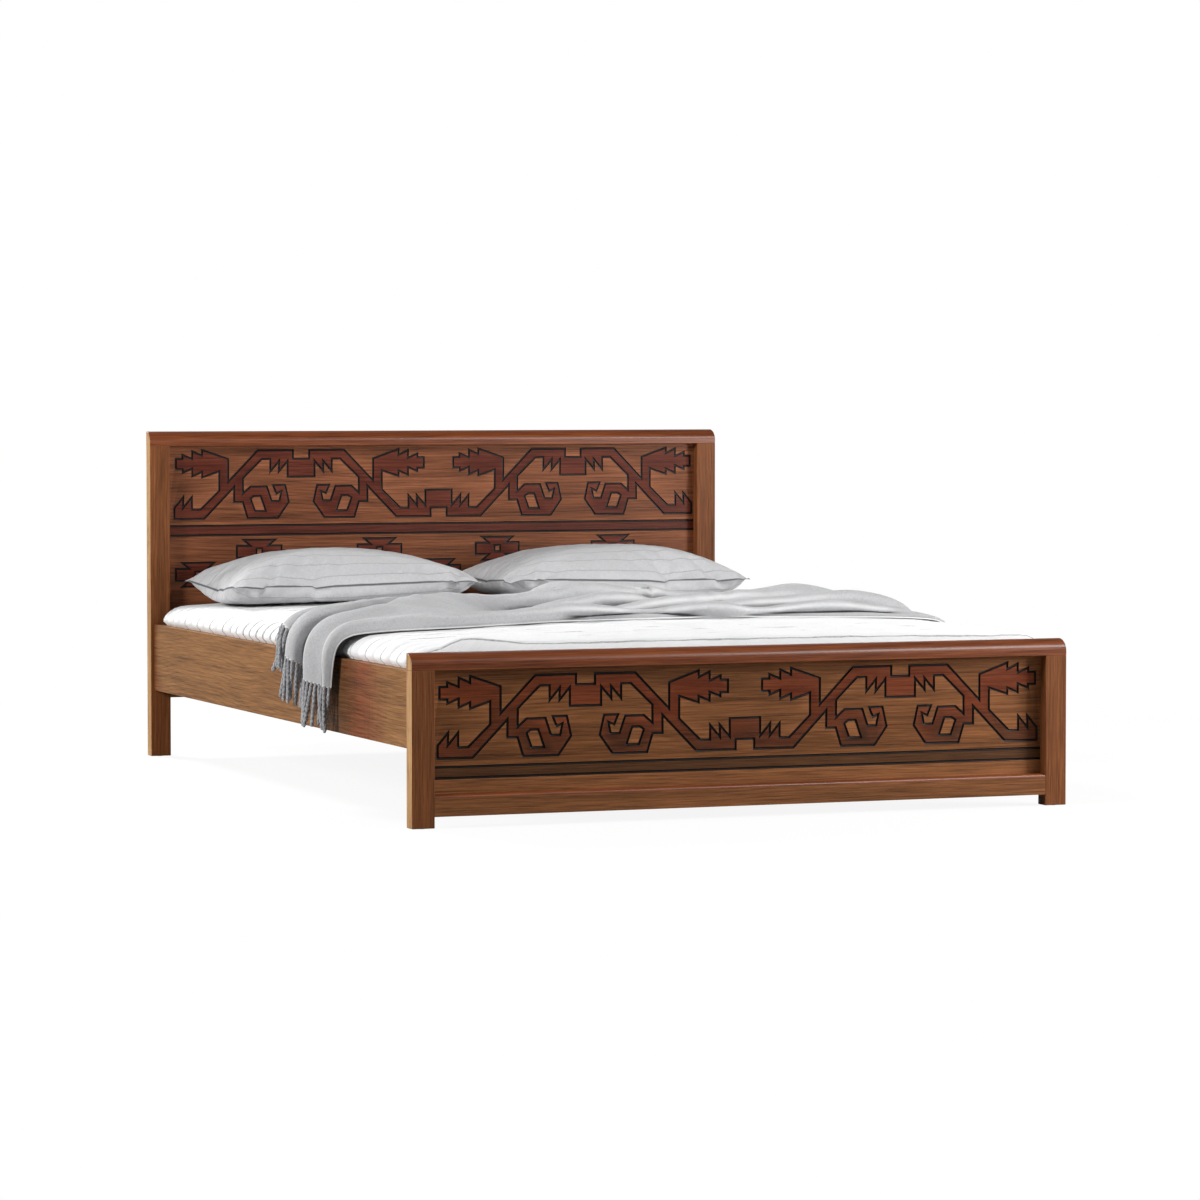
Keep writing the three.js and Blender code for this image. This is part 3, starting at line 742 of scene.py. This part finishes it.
def mattress_shape(counts, quilted):
    """A rounded slab that swells over the side rails, crowned on top and sewn into cross channels."""
    unit, faces = box_grid(counts)
    flat = unit * MATTRESS_HALF
    core = np.clip(flat, MATTRESS_EDGES - MATTRESS_HALF, MATTRESS_HALF - MATTRESS_EDGES)
    away = (flat - core) / MATTRESS_EDGES
    normal = away / np.maximum(np.linalg.norm(away, axis=1), 1e-9)[:, None]
    p = core + normal * MATTRESS_EDGES + [0, 0, MATTRESS_TOP - MATTRESS_HALF[2]]
    over_rail = smooth(p[:, 2], RAIL_TOP - 2 * MM, RAIL_TOP + 12 * MM)
    near_side = smooth(np.abs(p[:, 0]), 0.6, MATTRESS_HALF[0])
    p[:, 0] += np.sign(p[:, 0]) * near_side * over_rail * OVER_RAIL
    upper = smooth(p[:, 2], 0.33, 0.39)
    across, lengthways = np.abs(p[:, 0]) / 0.72, np.abs(p[:, 1]) / 0.98
    p[:, 2] += upper * (1 * MM - 12 * MM * across ** 3.5 - 5 * MM * lengthways ** 6)
    for middle_x, inner, outer, tall in FOOT_LOBES:
        beside = p[:, 0] - middle_x
        width = np.where(beside * middle_x < 0, inner, outer)
        near_foot = np.exp(-((p[:, 1] + 0.982) / 0.026) ** 2)
        p[:, 2] += tall * smooth(p[:, 2], 0.33, 0.38) * near_foot * np.exp(-(beside / width) ** 2)
    if quilted:
        turn = flat[:, 1] / CHANNEL_PITCH + 0.03 * np.sin(p[:, 0] * 23 + p[:, 1] * 4)
        gap = np.abs(turn - np.round(turn)) * CHANNEL_PITCH
        stitch = np.exp(-(gap / (3.2 * MM)) ** 2) + 0.8 * np.exp(-(gap / (12 * MM)) ** 2)
        deep = 0.5 + 0.6 * np.modf(np.abs(np.sin(np.round(turn) * 12.9)) * 437.5)[0]
        deep += 0.8 * (np.round(turn) % 2)
        pucker = deep + 0.35 * np.sin(p[:, 0] * 61 + np.round(turn) * 1.7) * np.sin(p[:, 0] * 23 + turn)
        shown = smooth(p[:, 2], 0.30, 0.345)
        p -= normal * (stitch * pucker * shown * CHANNEL_DEPTH)[:, None]
        uneven = np.sin(p[:, 0] * 37 + p[:, 1] * 11) * np.sin(p[:, 1] * 29)
        p += normal * (shown * 0.8 * MM * uneven)[:, None]
    return p, faces, flat


def make_mattress():
    points, faces, flat = mattress_shape(QUILTED_CELLS, True)
    mesh = mesh_of("mattress_quilted", points, faces)
    over = flat[:, 0] + flat[:, 2] * np.sign(flat[:, 0])
    write_uv(mesh, np.stack([over, flat[:, 1] + CHANNEL_PITCH / 2], axis=1))
    piece = new_piece("mattress_quilted", mesh, [TICKING], "mattress", "mattress")


make_mattress()


# ---------- pillows ----------

PILLOW_FLAT = (0.664, 0.438)
PILLOW_CELLS = (84, 56)
PILLOW_SEAM = 448 * MM  # height of the seam above the floor
PILLOW_START = 20 * MM  # how far the two sheets stand off the seam before they are blown up
PILLOW_UNEVEN = 1.2 * MM
PILLOW_FRAMES = 24
PILLOW_CLOTH = {
    "quality": 6, "mass": 0.3, "tension_stiffness": 40, "compression_stiffness": 40,
    "shear_stiffness": 15, "bending_stiffness": 0.4, "shrink_min": -0.04, "tension_damping": 10,
    "compression_damping": 10, "shear_damping": 10, "bending_damping": 1, "air_damping": 2,
    "use_pressure": True, "uniform_pressure_force": 5.3,
}


def flat_pillowcase():
    """Two sheets that share their edge, and the points on that seam and at its corners."""
    columns, rows = PILLOW_CELLS
    index, points, faces = {}, [], []
    def corner(i, j, face):
        on_seam = i in (0, columns) or j in (0, rows)
        key = (i, j, 0 if on_seam else face)
        if key not in index:
            u, v = 2 * i / columns - 1, 2 * j / rows - 1
            index[key] = len(points)
            lift = PILLOW_START * (1 - u * u) * (1 - v * v) * (0 if on_seam else face)
            lift += PILLOW_UNEVEN * math.sin(u * 31 + v * 9) * math.sin(v * 27 - u * 7)
            points.append((u * PILLOW_FLAT[0] / 2, v * PILLOW_FLAT[1] / 2, PILLOW_SEAM + lift))
        return index[key]
    for face in (1, -1):
        for j in range(rows):
            for i in range(columns):
                ring = [corner(a, b, face) for a, b in ((i, j), (i + 1, j), (i + 1, j + 1), (i, j + 1))]
                faces.append(ring if face > 0 else ring[::-1])
    seam = sorted(number for (i, j, face), number in index.items() if face == 0)
    corners = [index[(i, j, 0)] for i in (0, columns) for j in (0, rows)]
    return np.array(points), faces, seam, corners


def inflate(points, faces, corners, middle):
    """Blows the pillowcase up against the top of the mattress, with its four corners held."""
    shift = np.array([middle[0], middle[1], 0])
    piece = placed_object("pillow_form", mesh_of("pillow_form", points + shift, faces))
    held = piece.vertex_groups.new(name="held")
    held.add(corners, 1.0, "REPLACE")
    support = mesh_of("pillow_support", *mattress_shape(SUPPORT_CELLS, False)[:2])
    solid = placed_object("pillow_support", support)
    solid.modifiers.new("solid", "COLLISION")
    solid.collision.thickness_outer = 4 * MM
    solid.collision.thickness_inner = 30 * MM
    solid.collision.cloth_friction = 60
    cloth = piece.modifiers.new("swell", "CLOTH")
    for key, value in PILLOW_CLOTH.items():
        setattr(cloth.settings, key, value)
    cloth.settings.vertex_group_mass = held.name
    cloth.settings.effector_weights.gravity = 0.04
    cloth.collision_settings.distance_min = 3 * MM
    cloth.point_cache.frame_start = 1
    cloth.point_cache.frame_end = PILLOW_FRAMES
    for i in range(1, PILLOW_FRAMES + 1):
        bpy.context.scene.frame_set(i)
    shape = piece.evaluated_get(bpy.context.evaluated_depsgraph_get())
    settled = np.zeros(len(shape.data.vertices) * 3)
    shape.data.vertices.foreach_get("co", settled)
    bpy.context.scene.frame_set(1)
    bpy.data.objects.remove(solid)
    bpy.data.objects.remove(piece)
    return settled.reshape(-1, 3) - shift


def make_pillows():
    points, faces, seam, corners = flat_pillowcase()
    low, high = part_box("pillow_left")
    shape = inflate(points, faces, corners, (low + high) / 2)
    for side in SIDES:
        node = "pillow_" + side
        low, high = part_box(node)
        middle = (low + high) / 2
        flip = -1 if side == "right" else 1
        placed = shape * [flip, 1, 1] + [middle.x, middle.y, 0]
        rings = faces if flip > 0 else [ring[::-1] for ring in faces]
        mesh = mesh_of(node + "_case", placed, rings)
        write_uv(mesh, points[:, :2])
        seam_points = set(seam)
        crease = mesh.attributes.new("crease_edge", "FLOAT", "EDGE")
        crease.data.foreach_set("value", [float(set(e.vertices) <= seam_points) for e in mesh.edges])
        point = mesh.attributes.new("crease_vert", "FLOAT", "POINT")
        point.data.foreach_set("value", [float(i in corners) for i in range(len(mesh.vertices))])
        piece = new_piece(node + "_case", mesh, [PILLOWCASE], node, node)
        subdivide(piece)


make_pillows()


# ---------- throw ----------

THROW_FLAT = (0.76, 1.80)
CELL = 5 * MM
SMOOTHED = 19  # columns of cells that each bend of a fold is smoothed over
EDGE_SMOOTHED = 27  # and each bend of the two long edges
LEFT_OVERHANG = 84 * MM  # how far the throw's middle lies to the left of the bed's
SHARES = [0, 0.1, 0.22, 0.42, 0.62, 0.85, 1]  # places along the throw, from the left hem
NEAR_EDGE = [-0.515, -0.555, -0.56, -0.43, -0.40, -0.43, -0.43]  # y of its long edges there
FAR_EDGE = [-0.165, -0.13, 0.06, 0.20, 0.22, 0.10, 0.02]
HEM_WAVES = [0.0, 0.28, 0.42, 0.60, 0.75, 1.0]  # share of the width from the near edge, at the left hem
HEM_RISE = np.array([84, 108, 126, 154, 186, 202]) * MM  # how much less hangs down there
# The folds. Each knot: hundredths of the way along the throw, the crest's y, its height and its half
# width in millimetres, and how far it leans towards the foot end.
FOLDS = {
    "broad": [(0, -445, 36, 60, 0.5), (8, -455, 38, 68, 0.4), (14, -430, 46, 100, 0.2),
        (19, -320, 58, 160, 0), (25, -200, 55, 180, 0), (32, -100, 38, 140, 0.6),
        (38, -60, 36, 70, 1.6), (43, -20, 52, 56, 2.2), (49, 50, 60, 50, 2.4), (55, 100, 60, 46, 2.4),
        (60, 130, 46, 44, 2), (66, 150, 22, 40, 1.4), (75, 150, 0, 40, 0)],
    "near roll": [(0, -500, 10, 20, 0), (10, -535, 26, 24, 0.6), (16, -545, 28, 30, 0.8),
        (22, -535, 26, 40, 1), (30, -485, 24, 50, 1.2), (38, -430, 28, 50, 2),
        (43, -390, 34, 38, 2.8), (48, -360, 22, 34, 2.2), (54, -360, 10, 30, 0.8),
        (59, -360, 24, 30, 2.2), (65, -370, 34, 34, 2.6), (70, -370, 12, 34, 1.4),
        (76, -370, 26, 34, 2.4), (84, -370, 28, 36, 2.2), (91, -380, 14, 40, 1.4),
        (95, -380, 3, 50, 0), (100, -380, 0, 50, 0)],
    "second": [(0, -310, 42, 34, 1.8), (8, -310, 46, 36, 1.8), (13, -240, 48, 42, 1.8),
        (20, -100, 46, 42, 1.6), (30, 40, 26, 40, 1), (40, 140, 0, 50, 0)],
    "third": [(0, -210, 36, 26, 1.4), (8, -205, 42, 28, 1.4), (13, -150, 46, 32, 1.8),
        (20, -10, 36, 36, 1.4), (32, 120, 0, 50, 0), (100, 140, 0, 50, 0)],
    "middle": [(34, -300, 0, 40, 0), (41, -270, 36, 32, 2.6), (47, -220, 48, 32, 3),
        (53, -170, 48, 32, 3), (58, -120, 34, 34, 2.4), (64, -60, 0, 40, 0), (100, -100, 0, 40, 0)],
    "slanting": [(46, -290, 0, 40, 0), (54, -270, 30, 36, 2.4), (60, -230, 40, 38, 2.8),
        (66, -170, 46, 40, 3), (72, -100, 40, 42, 3), (78, -60, 38, 44, 2.6), (84, -40, 44, 50, 1.8),
        (90, -60, 40, 60, 1.2), (95, -100, 28, 60, 0.6), (98, -100, 10, 70, 0),
        (100, -100, 0, 80, 0)],
    "back": [(42, 180, 0, 40, 0), (47, 170, 52, 40, 2), (52, 170, 60, 36, 2.2),
        (58, 160, 56, 36, 2.2), (63, 150, 46, 38, 2.2), (70, 120, 32, 42, 2), (77, 100, 28, 45, 1.6),
        (82, 60, 42, 50, 1.4), (87, 40, 52, 50, 0.8), (92, 30, 40, 50, 0.4), (96, 20, 18, 60, 0),
        (100, 0, 0, 60, 0)],
    "right": [(62, -240, 0, 40, 0), (70, -250, 34, 36, 2.6), (78, -230, 40, 38, 2.8),
        (84, -210, 46, 45, 2.6), (89, -210, 46, 55, 2), (93, -210, 40, 60, 1.6),
        (95.5, -210, 30, 60, 1), (98.5, -200, 12, 60, 0.2), (100, -200, 0, 80, 0)],
}
CLOTH_THICKNESS = 2.6 * MM
UNDERCUT = 12 * MM  # how far the foot of a fold that leans is tucked in below its face
FINE_ROWS = 900
WRINKLE = 2.0 * MM
EDGE_DROP = 5 * MM  # how far the long edges sink back onto the bed


def wander(share, wave, seed):
    """A slow random walk along the throw, different for each wave, from about -1 to 1."""
    rates = ((1.3, 0.55), (2.9, 0.3), (5.3, 0.15))
    return sum(size * np.sin(2 * math.pi * (share * rate + seed * 0.37 + wave * 0.61 * rate))
               for rate, size in rates)


# The left half of the line that the throw follows across the bed, in millimetres: x and height.
LEFT_HALF = [(-798, 180), (-798, 300), (-797, 348), (-788, 376), (-766, 393), (-730, 400),
             (-640, 405), (-400, 410), (0, 413)]


def edge_path():
    """The line up the left side, over the bed and down the right, with its corners cut round."""
    line = np.array(LEFT_HALF + [(-x, z) for x, z in LEFT_HALF[-2::-1]]) * MM
    for _ in range(4):
        quarter = line[:-1] * 0.75 + line[1:] * 0.25
        three = line[:-1] * 0.25 + line[1:] * 0.75
        line = np.vstack([line[:1], np.stack([quarter, three], axis=1).reshape(-1, 2), line[-1:]])
    return line


def distances(line):
    """How far each point of a line lies along it from its start."""
    return np.concatenate([[0], np.cumsum(np.linalg.norm(np.diff(line, axis=0), axis=1))])


def rounded(values, count):
    """A running mean over an odd count of points, carried straight on at both ends."""
    padded = np.pad(values, count, mode="reflect", reflect_type="odd")
    return np.convolve(padded, np.ones(count) / count, mode="same")[count:-count]


def folded(shares, rows):
    """Where each point of the throw lies towards the head, and how far it stands off the bed."""
    across = np.linspace(0, 1, FINE_ROWS)
    near = rounded(np.interp(shares, SHARES, NEAR_EDGE), EDGE_SMOOTHED)
    far = rounded(np.interp(shares, SHARES, FAR_EDGE), EDGE_SMOOTHED)
    y = near[None] + across[:, None] * (far - near)[None]
    height, lean = np.zeros_like(y), np.zeros_like(y)
    free = smooth(shares, 0.12, 0.3)  # folds wander only where they lie on the bed
    for number, knots in enumerate(FOLDS.values()):
        places, *courses = (np.array(knots) * [0.01, MM, MM, MM, 1]).T
        crest, tall, wide, tilt = (rounded(np.interp(shares, places, c), SMOOTHED) for c in courses)
        crest = crest + 0.014 * wander(shares, number, 3) * free
        tall = np.maximum(tall * (1 + 0.14 * wander(shares * 1.7, number, 7) * free), 1e-4)
        wide = wide * (1 + 0.18 * wander(shares * 1.4, number, 11) * free)
        behind = (y - crest) / wide
        steep = 1 + 1.2 * np.clip(tilt, 0, 1.5)
        share_up = np.exp(-np.where(behind < 0, np.abs(behind * steep), behind * 1.15) ** 1.35)
        rolled = 2.6 * share_up * np.sqrt(1 - share_up) * (behind < 0)
        one = tall * share_up
        height = np.maximum(height, one) + 0.1 * np.minimum(height, one)
        lean += tilt * (UNDERCUT * rolled * smooth(tall, 0.004, 0.02) + 0.2 * one)
    ripple = wander(shares[None] * 2.3 + y * 1.9, 0, 13) * np.sin(y * 61 + shares[None] * 23)
    cross = np.sin(y * 97 - shares[None] * 41 + 2 * wander(shares, 0, 17)[None])
    height += WRINKLE * (1 + ripple + 0.5 * cross * smooth(height, 0.005, 0.03))
    edge = (smooth(across, 0, 0.03) * smooth(across, 1, 0.97))[:, None]
    height = height * (0.1 + 0.9 * edge) - EDGE_DROP * (1 - edge)
    y = y - lean
    # rows of cells evenly spaced along the folded cloth
    run = np.hypot(np.diff(y, axis=0), np.diff(height, axis=0))
    run = np.vstack([np.zeros(len(shares)), np.cumsum(run, axis=0)])
    even = np.linspace(0, 1, rows + 1)
    return [np.stack([np.interp(even * run[-1, i], run[:, i], values[:, i])
                      for i in range(len(shares))], axis=1) for values in (y, height)]


def throw_shape():
    """The throw's points by row and column, and where the columns and rows lie on the flat cloth."""
    width, length = THROW_FLAT
    columns, rows = round(length / CELL), round(width / CELL)
    line = edge_path()
    steps = distances(line)
    s = np.linspace(-length / 2, length / 2, columns + 1)
    t = np.linspace(0, width, rows + 1)
    shares = s / length + 0.5
    y, height = folded(shares, rows)
    rise = np.interp(t / width, HEM_WAVES, HEM_RISE)
    at = steps[-1] / 2 - LEFT_OVERHANG + s[None] + rise[:, None] * (1 - shares[None])
    x, z = (np.interp(at, steps, line[:, n]) for n in (0, 1))
    dx, dz = (np.interp(at + 4 * MM, steps, line[:, n]) - np.interp(at - 4 * MM, steps, line[:, n])
              for n in (0, 1))
    size = np.hypot(dx, dz)
    return np.stack([x - dz / size * height, y, z + dx / size * height], axis=-1), s, t


def grid_faces(rows, columns):
    wide = columns + 1
    return [[j * wide + i, j * wide + i + 1, (j + 1) * wide + i + 1, (j + 1) * wide + i]
            for j in range(rows) for i in range(columns)]


def make_throw():
    points, s, t = throw_shape()
    mesh = mesh_of("throw_cloth", points.reshape(-1, 3), grid_faces(len(t) - 1, len(s) - 1))
    write_uv(mesh, np.stack(np.meshgrid(s, t), axis=-1).reshape(-1, 2))
    piece = new_piece("throw_cloth", mesh, [THROW], "throw", "throw")
    subdivide(piece)
    thick = piece.modifiers.new("thickness", "SOLIDIFY")
    thick.thickness = CLOTH_THICKNESS
    thick.offset = 0
    return piece, points


STRAND_PITCH = 11 * MM
STRAND_LENGTH = 98 * MM
STRAND_RADIUS = 4.9 * MM
STRAND_TWIST = 24 * MM  # length of one full turn of the two plies
STRAND_SIDES = 10
STRAND_STEPS = 56
STRAND_FOLLOWS = 0.09  # share of its final direction that a strand takes up at each step
LAST_FLICK = 0.28  # how far the last strand leans outwards


def strand_mesh(points, radius, turns):
    """A two-ply cord along a line: two lobes that turn about it, closed at both ends."""
    count, sides = len(points), STRAND_SIDES
    tangents = np.gradient(points, axis=0)
    tangents /= np.linalg.norm(tangents, axis=1)[:, None]
    side = np.cross(tangents[0], [0.0, 1.0, 0.0])
    angle = 2 * math.pi * np.arange(sides) / sides
    verts = []
    for point, tangent, share in zip(points, tangents, np.linspace(0, 1, count)):
        side -= tangent * (side @ tangent)
        side /= np.linalg.norm(side)
        swell = radius * (0.85 + 0.15 * min(1.0, share * 5)) * (1 - 0.3 * smooth(share, 0.95, 1.0))
        lobe = swell * (0.72 + 0.28 * np.abs(np.cos(angle - turns * 2 * math.pi * share)))
        out = np.outer(np.cos(angle), side) + np.outer(np.sin(angle), np.cross(tangent, side))
        verts.extend(point + lobe[:, None] * out)
    faces = [[k + a, k + (a + 1) % sides, k + sides + (a + 1) % sides, k + sides + a]
             for k in range(0, (count - 1) * sides, sides) for a in range(sides)]
    faces.append(list(range(sides))[::-1])
    faces.append([(count - 1) * sides + a for a in range(sides)])
    return verts, faces


def make_fringe(name, hem, inner, outward, seed):
    """Twisted strands along a hem, hanging down from it and clear of the rail."""
    random = np.random.default_rng(seed)
    steps = distances(hem)
    count = int(steps[-1] / STRAND_PITCH)
    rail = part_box("side_rail_left")[0].x if outward < 0 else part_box("side_rail_right")[1].x
    limit = rail + outward * (STRAND_RADIUS + 1 * MM)
    verts, faces = [], []
    for k in range(count):
        at = (k + 0.5) / count * steps[-1]
        start, behind = (np.array([np.interp(at, steps, row[:, a]) for a in range(3)])
                         for row in (hem, inner))
        fall = start - behind
        fall /= max(np.linalg.norm(fall), 1e-9)
        start = start - fall * 3 * MM
        lean = np.array([random.normal(outward * 0.06, 0.05), random.normal(0.06, 0.09), -1.0])
        if k == count - 1:
            lean[0] += outward * LAST_FLICK
        length = STRAND_LENGTH * random.uniform(0.9, 1.08)
        line, here, heading = [start], start.copy(), fall.copy()
        bend = random.normal(0, 0.12)
        for n in range(STRAND_STEPS):
            pull = lean + np.array([0, bend * math.sin(n / STRAND_STEPS * 3), 0])
            heading = heading * (1 - STRAND_FOLLOWS) + pull * STRAND_FOLLOWS
            heading /= np.linalg.norm(heading)
            here = here + heading * length / STRAND_STEPS
            here[0] = min(here[0], limit) if outward < 0 else max(here[0], limit)
            line.append(here.copy())
        radius = STRAND_RADIUS * random.uniform(0.88, 1.08)
        made, rings = strand_mesh(np.array(line), radius, length / STRAND_TWIST)
        base = len(verts)
        verts.extend(made)
        faces.extend([[base + i for i in ring] for ring in rings])
    mesh = mesh_of(name + "_yarn", verts, faces, sharp_degrees=75)
    return new_piece(name + "_yarn", mesh, [FRINGE], "throw", name)


throw_piece, cloth_points = make_throw()
fringes = [
    make_fringe("throw_fringe_left", cloth_points[:, 0], cloth_points[:, 1], -1, seed=4),
    make_fringe("throw_fringe_right", cloth_points[:, -1], cloth_points[:, -2], 1, seed=8),
]


# ---------- floor, light and camera ----------

FLOOR_GLOW = 0.90  # share of its own light that the floor shows close to the bed
FLOOR_BOUNCE = 0.3
FLOOR_HALF = 40
WORLD_LIGHT = 0.14
# Each lamp's place, target, size and watts.
LAMPS = {
    "key": ((-2.0, 4.4, 3.7), (0, 0, 0.3), (1.3, 1.3), 300),
    "left": ((-5.2, -1.2, 2.4), (0, 0, 0.3), (1.2, 1.2), 252),
    "front": ((2.8, -3.35, 4.05), (0.3, -0.6, 0.4), (1.8, 1.2), 98),
    "right": ((3.5, -2.6, 1.2), (0.6, 0, 0.4), (1.2, 1.2), 160),
    "glancing": ((-3.0, 5.5, 1.2), (-0.6, 0, 0.4), (3, 1.8), 24),
}


def pale_floor():
    """A white sweep lit from within, so that the bed's shadow stays faint on it."""
    g = Graph("pale_floor")
    cloudy = g.noise(g.point, scale=0.6, detail=3)
    glow = g.node("ShaderNodeEmission", {"Strength": 1.0})
    path = g.node("ShaderNodeLightPath")
    white = g.ramp(cloudy, (0.3, linear(248, 248, 248)), (0.7, linear(252, 252, 252)))
    color = g.blend(path.outputs["Is Camera Ray"], (FLOOR_BOUNCE,) * 3, white)
    g.surface(base_color=color, roughness=0.9)
    away = g.node("ShaderNodeVectorMath", {0: g.point}, operation="LENGTH").outputs["Value"]
    share = g.times(path.outputs["Is Camera Ray"], g.spread(away, FLOOR_GLOW, 1.0, 1.2, 3.0))
    mixed = g.node("ShaderNodeMixShader", {0: share, 1: g.shader.outputs[0], 2: glow.outputs[0]})
    g.tree.links.new(mixed.outputs[0], g.tree.nodes["Material Output"].inputs["Surface"])
    return g.material


def make_floor():
    corners = [(x * FLOOR_HALF, y * FLOOR_HALF, 0) for x, y in ((-1, -1), (1, -1), (1, 1), (-1, 1))]
    mesh = mesh_of("floor", corners, [[0, 1, 2, 3]])
    mesh.materials.append(pale_floor())
    placed_object("floor", mesh)


def light_room():
    """A dim neutral room with a white backdrop, and soft lamps round the bed."""
    world = bpy.data.worlds.new("studio")
    bpy.context.scene.world = world
    world.use_nodes = True
    nodes, links = world.node_tree.nodes, world.node_tree.links
    fill, backdrop = nodes["Background"], nodes.new("ShaderNodeBackground")
    for shader, strength in ((fill, WORLD_LIGHT), (backdrop, 1.0)):
        shader.inputs["Color"].default_value = (1, 1, 1, 1)
        shader.inputs["Strength"].default_value = strength
    choose, path = nodes.new("ShaderNodeMixShader"), nodes.new("ShaderNodeLightPath")
    links.new(path.outputs["Is Camera Ray"], choose.inputs[0])
    links.new(fill.outputs[0], choose.inputs[1])
    links.new(backdrop.outputs[0], choose.inputs[2])
    links.new(choose.outputs[0], nodes["World Output"].inputs["Surface"])
    for name, (place, target, size, watts) in LAMPS.items():
        data = bpy.data.lights.new(name, "AREA")
        data.shape = "RECTANGLE"
        data.size, data.size_y = size
        data.energy = watts
        lamp = placed_object(name, data)
        lamp.location = place
        lamp.rotation_euler = (Vector(target) - Vector(place)).to_track_quat("-Z", "Y").to_euler()


CAMERA_PLACE = (-3.9193, -10.1473, 0.9528)
CAMERA_DOWN = 2.735  # degrees
CAMERA_TURN = 21.4
CAMERA_LENS = 135.18


def make_camera():
    data = bpy.data.cameras.new("camera")
    data.lens = CAMERA_LENS
    data.clip_end = 200
    camera = placed_object("camera", data)
    camera.location = CAMERA_PLACE
    camera.rotation_euler = (math.radians(90 - CAMERA_DOWN), 0, math.radians(-CAMERA_TURN))
    bpy.context.scene.camera = camera


make_floor()
light_room()
make_camera()
bpy.context.scene.view_settings.view_transform = "Standard"
